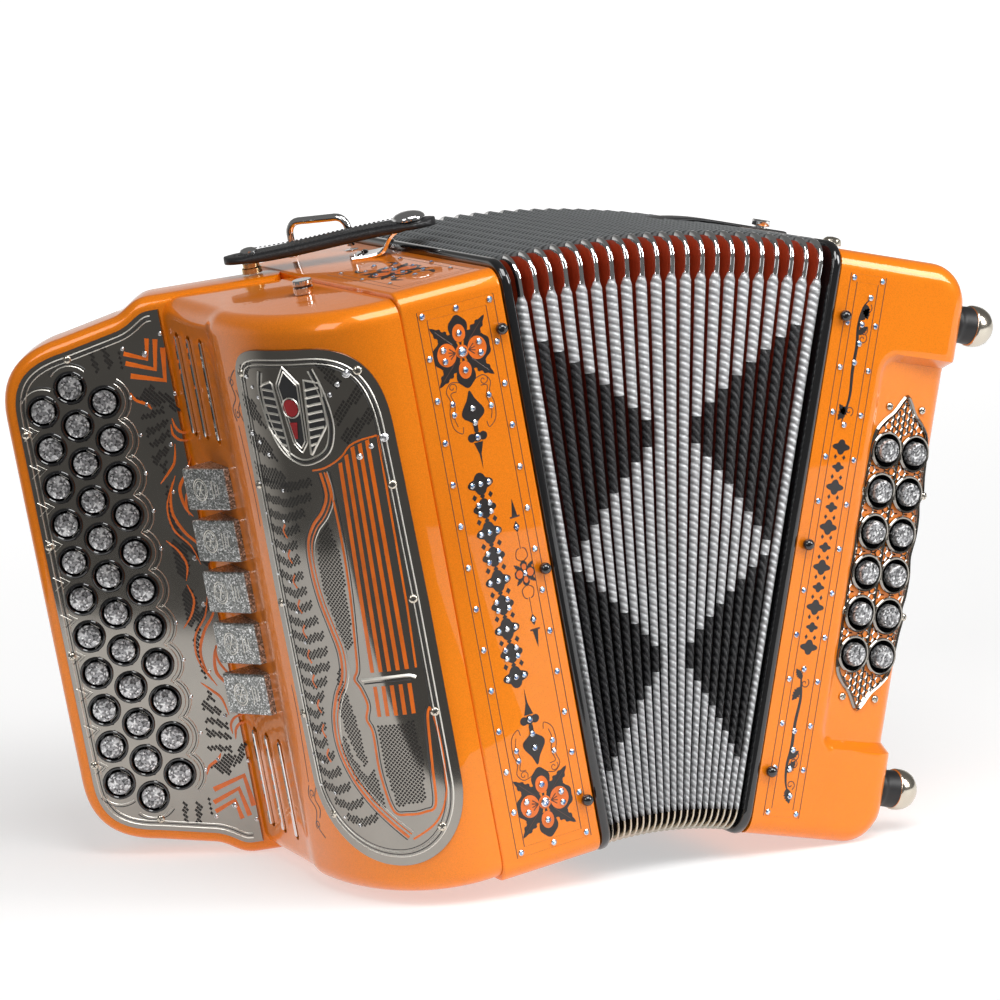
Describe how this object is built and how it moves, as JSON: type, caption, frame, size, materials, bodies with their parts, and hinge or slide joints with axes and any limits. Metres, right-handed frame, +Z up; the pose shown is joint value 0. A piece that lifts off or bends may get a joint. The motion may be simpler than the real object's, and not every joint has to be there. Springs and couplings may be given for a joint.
{
  "type": "button accordion",
  "caption": "Three-row button accordion standing fanned open, with a curved grille, register switches, folded bellows and bass buttons.",
  "frame": {"origin": "centre of the bounding box on the floor plane", "axes": "+X from the treble half to the bass half, +Y from the front towards the player, +Z up"},
  "size_m": [0.4556, 0.2296, 0.327],
  "materials": {
    "orange_lacquer": "glossy orange candy lacquer over wood",
    "engraved_chrome": "mirror plate with engraved and pierced ornament",
    "polished_chrome": "polished",
    "black_gloss": "gloss black moulding",
    "bellows_cloth": "silver and black braided tape on folded card",
    "black_leather": "padded and stitched",
    "glitter": "clear over coarse silver glitter",
    "silver_glitter": "clear over fine silver glitter",
    "reed_wood": "plain spruce"
  },
  "bodies": {
    "treble": {"treble_casing": "orange_lacquer", "treble_cover": "orange_lacquer", "grille_plate": "engraved_chrome", "fingerboard": "orange_lacquer", "button_plate": "engraved_chrome", "treble_reed_block": "reed_wood", "treble_bellows_frame": "black_gloss", "carry_handle": "black_leather", "handle_bracket": "polished_chrome", "bellows": "bellows_cloth"},
    "bass": {"bass_casing": "orange_lacquer", "bass_button_plate": "engraved_chrome", "bass_bellows_frame": "black_gloss", "bass_reed_block": "reed_wood", "hand_strap": "black_leather", "bellows_strap": "black_leather"},
    "register_1": {"register_1": "silver_glitter"},
    "register_2": {"register_2": "silver_glitter"},
    "register_3": {"register_3": "silver_glitter"},
    "register_4": {"register_4": "silver_glitter"},
    "register_5": {"register_5": "silver_glitter"},
    "bass_button_row_1": {"bass_button_row_1": "glitter"},
    "bass_button_row_2": {"bass_button_row_2": "glitter"},
    "air_button": {"air_button": "polished_chrome"},
    "strap_ring": {"strap_ring": "polished_chrome"},
    "cover_knob": {"cover_knob": "polished_chrome"},
    "treble_button_1_01": {"treble_button_1_01": "glitter"},
    "treble_button_1_02": {"treble_button_1_02": "glitter"},
    "treble_button_1_03": {"treble_button_1_03": "glitter"},
    "treble_button_1_04": {"treble_button_1_04": "glitter"},
    "treble_button_1_05": {"treble_button_1_05": "glitter"},
    "treble_button_1_06": {"treble_button_1_06": "glitter"},
    "treble_button_1_07": {"treble_button_1_07": "glitter"},
    "treble_button_1_08": {"treble_button_1_08": "glitter"},
    "treble_button_1_09": {"treble_button_1_09": "glitter"},
    "treble_button_1_10": {"treble_button_1_10": "glitter"},
    "treble_button_1_11": {"treble_button_1_11": "glitter"},
    "treble_button_2_01": {"treble_button_2_01": "glitter"},
    "treble_button_2_02": {"treble_button_2_02": "glitter"},
    "treble_button_2_03": {"treble_button_2_03": "glitter"},
    "treble_button_2_04": {"treble_button_2_04": "glitter"},
    "treble_button_2_05": {"treble_button_2_05": "glitter"},
    "treble_button_2_06": {"treble_button_2_06": "glitter"},
    "treble_button_2_07": {"treble_button_2_07": "glitter"},
    "treble_button_2_08": {"treble_button_2_08": "glitter"},
    "treble_button_2_09": {"treble_button_2_09": "glitter"},
    "treble_button_2_10": {"treble_button_2_10": "glitter"},
    "treble_button_2_11": {"treble_button_2_11": "glitter"},
    "treble_button_2_12": {"treble_button_2_12": "glitter"},
    "treble_button_3_01": {"treble_button_3_01": "glitter"},
    "treble_button_3_02": {"treble_button_3_02": "glitter"},
    "treble_button_3_03": {"treble_button_3_03": "glitter"},
    "treble_button_3_04": {"treble_button_3_04": "glitter"},
    "treble_button_3_05": {"treble_button_3_05": "glitter"},
    "treble_button_3_06": {"treble_button_3_06": "glitter"},
    "treble_button_3_07": {"treble_button_3_07": "glitter"},
    "treble_button_3_08": {"treble_button_3_08": "glitter"},
    "treble_button_3_09": {"treble_button_3_09": "glitter"},
    "treble_button_3_10": {"treble_button_3_10": "glitter"},
    "treble_button_3_11": {"treble_button_3_11": "glitter"}
  },
  "joints": [
    {"name": "bellows_fan", "type": "hinge", "parent": "treble", "child": "bass", "pos_m": [0.03255, -0.0213, -0.00524], "axis": [0, 1, 0], "range_deg": [-21.15, 12], "deforming": ["bellows"]},
    {"name": "register_1_press", "type": "slide", "parent": "treble", "child": "register_1", "axis": [0.9896, 0, 0.144], "range_m": [0, 0.0035]},
    {"name": "register_2_press", "type": "slide", "parent": "treble", "child": "register_2", "axis": [0.9896, 0, 0.144], "range_m": [0, 0.0035]},
    {"name": "register_3_press", "type": "slide", "parent": "treble", "child": "register_3", "axis": [0.9896, 0, 0.144], "range_m": [0, 0.0035]},
    {"name": "register_4_press", "type": "slide", "parent": "treble", "child": "register_4", "axis": [0.9896, 0, 0.144], "range_m": [0, 0.0035]},
    {"name": "register_5_press", "type": "slide", "parent": "treble", "child": "register_5", "axis": [0.9896, 0, 0.144], "range_m": [0, 0.0035]},
    {"name": "bass_button_row_1_press", "type": "slide", "parent": "bass", "child": "bass_button_row_1", "axis": [-0.1525, 0.9877, 0.0348], "range_m": [0, 0.004], "stiffness_N_per_m": 300, "springref_m": -0.003},
    {"name": "bass_button_row_2_press", "type": "slide", "parent": "bass", "child": "bass_button_row_2", "axis": [-0.1525, 0.9877, 0.0348], "range_m": [0, 0.004], "stiffness_N_per_m": 300, "springref_m": -0.003},
    {"name": "air_button_press", "type": "slide", "parent": "bass", "child": "air_button", "axis": [-0.9749, 0, 0.2227], "range_m": [0, 0.004], "stiffness_N_per_m": 300, "springref_m": -0.003},
    {"name": "strap_ring_swing", "type": "hinge", "parent": "treble", "child": "strap_ring", "pos_m": [-0.07042, 0.0462, 0.30445], "axis": [0.6365, -0.7657, 0.0926], "range_deg": [-70, 40]},
    {"name": "cover_knob_turn", "type": "hinge", "parent": "treble", "child": "cover_knob", "pos_m": [-0.11728, -0.0383, 0.29663], "axis": [-0.144, 0, 0.9896], "continuous": true},
    {"name": "treble_button_1_01_press", "type": "slide", "parent": "treble", "child": "treble_button_1_01", "axis": [0.4927, 0.8672, 0.0717], "range_m": [0, 0.0035], "stiffness_N_per_m": 150, "springref_m": -0.003},
    {"name": "treble_button_1_02_press", "type": "slide", "parent": "treble", "child": "treble_button_1_02", "axis": [0.4927, 0.8672, 0.0717], "range_m": [0, 0.0035], "stiffness_N_per_m": 150, "springref_m": -0.003},
    {"name": "treble_button_1_03_press", "type": "slide", "parent": "treble", "child": "treble_button_1_03", "axis": [0.4927, 0.8672, 0.0717], "range_m": [0, 0.0035], "stiffness_N_per_m": 150, "springref_m": -0.003},
    {"name": "treble_button_1_04_press", "type": "slide", "parent": "treble", "child": "treble_button_1_04", "axis": [0.4927, 0.8672, 0.0717], "range_m": [0, 0.0035], "stiffness_N_per_m": 150, "springref_m": -0.003},
    {"name": "treble_button_1_05_press", "type": "slide", "parent": "treble", "child": "treble_button_1_05", "axis": [0.4927, 0.8672, 0.0717], "range_m": [0, 0.0035], "stiffness_N_per_m": 150, "springref_m": -0.003},
    {"name": "treble_button_1_06_press", "type": "slide", "parent": "treble", "child": "treble_button_1_06", "axis": [0.4927, 0.8672, 0.0717], "range_m": [0, 0.0035], "stiffness_N_per_m": 150, "springref_m": -0.003},
    {"name": "treble_button_1_07_press", "type": "slide", "parent": "treble", "child": "treble_button_1_07", "axis": [0.4927, 0.8672, 0.0717], "range_m": [0, 0.0035], "stiffness_N_per_m": 150, "springref_m": -0.003},
    {"name": "treble_button_1_08_press", "type": "slide", "parent": "treble", "child": "treble_button_1_08", "axis": [0.4927, 0.8672, 0.0717], "range_m": [0, 0.0035], "stiffness_N_per_m": 150, "springref_m": -0.003},
    {"name": "treble_button_1_09_press", "type": "slide", "parent": "treble", "child": "treble_button_1_09", "axis": [0.4927, 0.8672, 0.0717], "range_m": [0, 0.0035], "stiffness_N_per_m": 150, "springref_m": -0.003},
    {"name": "treble_button_1_10_press", "type": "slide", "parent": "treble", "child": "treble_button_1_10", "axis": [0.4927, 0.8672, 0.0717], "range_m": [0, 0.0035], "stiffness_N_per_m": 150, "springref_m": -0.003},
    {"name": "treble_button_1_11_press", "type": "slide", "parent": "treble", "child": "treble_button_1_11", "axis": [0.4927, 0.8672, 0.0717], "range_m": [0, 0.0035], "stiffness_N_per_m": 150, "springref_m": -0.003},
    {"name": "treble_button_2_01_press", "type": "slide", "parent": "treble", "child": "treble_button_2_01", "axis": [0.4927, 0.8672, 0.0717], "range_m": [0, 0.0035], "stiffness_N_per_m": 150, "springref_m": -0.003},
    {"name": "treble_button_2_02_press", "type": "slide", "parent": "treble", "child": "treble_button_2_02", "axis": [0.4927, 0.8672, 0.0717], "range_m": [0, 0.0035], "stiffness_N_per_m": 150, "springref_m": -0.003},
    {"name": "treble_button_2_03_press", "type": "slide", "parent": "treble", "child": "treble_button_2_03", "axis": [0.4927, 0.8672, 0.0717], "range_m": [0, 0.0035], "stiffness_N_per_m": 150, "springref_m": -0.003},
    {"name": "treble_button_2_04_press", "type": "slide", "parent": "treble", "child": "treble_button_2_04", "axis": [0.4927, 0.8672, 0.0717], "range_m": [0, 0.0035], "stiffness_N_per_m": 150, "springref_m": -0.003},
    {"name": "treble_button_2_05_press", "type": "slide", "parent": "treble", "child": "treble_button_2_05", "axis": [0.4927, 0.8672, 0.0717], "range_m": [0, 0.0035], "stiffness_N_per_m": 150, "springref_m": -0.003},
    {"name": "treble_button_2_06_press", "type": "slide", "parent": "treble", "child": "treble_button_2_06", "axis": [0.4927, 0.8672, 0.0717], "range_m": [0, 0.0035], "stiffness_N_per_m": 150, "springref_m": -0.003},
    {"name": "treble_button_2_07_press", "type": "slide", "parent": "treble", "child": "treble_button_2_07", "axis": [0.4927, 0.8672, 0.0717], "range_m": [0, 0.0035], "stiffness_N_per_m": 150, "springref_m": -0.003},
    {"name": "treble_button_2_08_press", "type": "slide", "parent": "treble", "child": "treble_button_2_08", "axis": [0.4927, 0.8672, 0.0717], "range_m": [0, 0.0035], "stiffness_N_per_m": 150, "springref_m": -0.003},
    {"name": "treble_button_2_09_press", "type": "slide", "parent": "treble", "child": "treble_button_2_09", "axis": [0.4927, 0.8672, 0.0717], "range_m": [0, 0.0035], "stiffness_N_per_m": 150, "springref_m": -0.003},
    {"name": "treble_button_2_10_press", "type": "slide", "parent": "treble", "child": "treble_button_2_10", "axis": [0.4927, 0.8672, 0.0717], "range_m": [0, 0.0035], "stiffness_N_per_m": 150, "springref_m": -0.003},
    {"name": "treble_button_2_11_press", "type": "slide", "parent": "treble", "child": "treble_button_2_11", "axis": [0.4927, 0.8672, 0.0717], "range_m": [0, 0.0035], "stiffness_N_per_m": 150, "springref_m": -0.003},
    {"name": "treble_button_2_12_press", "type": "slide", "parent": "treble", "child": "treble_button_2_12", "axis": [0.4927, 0.8672, 0.0717], "range_m": [0, 0.0035], "stiffness_N_per_m": 150, "springref_m": -0.003},
    {"name": "treble_button_3_01_press", "type": "slide", "parent": "treble", "child": "treble_button_3_01", "axis": [0.4927, 0.8672, 0.0717], "range_m": [0, 0.0035], "stiffness_N_per_m": 150, "springref_m": -0.003},
    {"name": "treble_button_3_02_press", "type": "slide", "parent": "treble", "child": "treble_button_3_02", "axis": [0.4927, 0.8672, 0.0717], "range_m": [0, 0.0035], "stiffness_N_per_m": 150, "springref_m": -0.003},
    {"name": "treble_button_3_03_press", "type": "slide", "parent": "treble", "child": "treble_button_3_03", "axis": [0.4927, 0.8672, 0.0717], "range_m": [0, 0.0035], "stiffness_N_per_m": 150, "springref_m": -0.003},
    {"name": "treble_button_3_04_press", "type": "slide", "parent": "treble", "child": "treble_button_3_04", "axis": [0.4927, 0.8672, 0.0717], "range_m": [0, 0.0035], "stiffness_N_per_m": 150, "springref_m": -0.003},
    {"name": "treble_button_3_05_press", "type": "slide", "parent": "treble", "child": "treble_button_3_05", "axis": [0.4927, 0.8672, 0.0717], "range_m": [0, 0.0035], "stiffness_N_per_m": 150, "springref_m": -0.003},
    {"name": "treble_button_3_06_press", "type": "slide", "parent": "treble", "child": "treble_button_3_06", "axis": [0.4927, 0.8672, 0.0717], "range_m": [0, 0.0035], "stiffness_N_per_m": 150, "springref_m": -0.003},
    {"name": "treble_button_3_07_press", "type": "slide", "parent": "treble", "child": "treble_button_3_07", "axis": [0.4927, 0.8672, 0.0717], "range_m": [0, 0.0035], "stiffness_N_per_m": 150, "springref_m": -0.003},
    {"name": "treble_button_3_08_press", "type": "slide", "parent": "treble", "child": "treble_button_3_08", "axis": [0.4927, 0.8672, 0.0717], "range_m": [0, 0.0035], "stiffness_N_per_m": 150, "springref_m": -0.003},
    {"name": "treble_button_3_09_press", "type": "slide", "parent": "treble", "child": "treble_button_3_09", "axis": [0.4927, 0.8672, 0.0717], "range_m": [0, 0.0035], "stiffness_N_per_m": 150, "springref_m": -0.003},
    {"name": "treble_button_3_10_press", "type": "slide", "parent": "treble", "child": "treble_button_3_10", "axis": [0.4927, 0.8672, 0.0717], "range_m": [0, 0.0035], "stiffness_N_per_m": 150, "springref_m": -0.003},
    {"name": "treble_button_3_11_press", "type": "slide", "parent": "treble", "child": "treble_button_3_11", "axis": [0.4927, 0.8672, 0.0717], "range_m": [0, 0.0035], "stiffness_N_per_m": 150, "springref_m": -0.003}
  ]
}
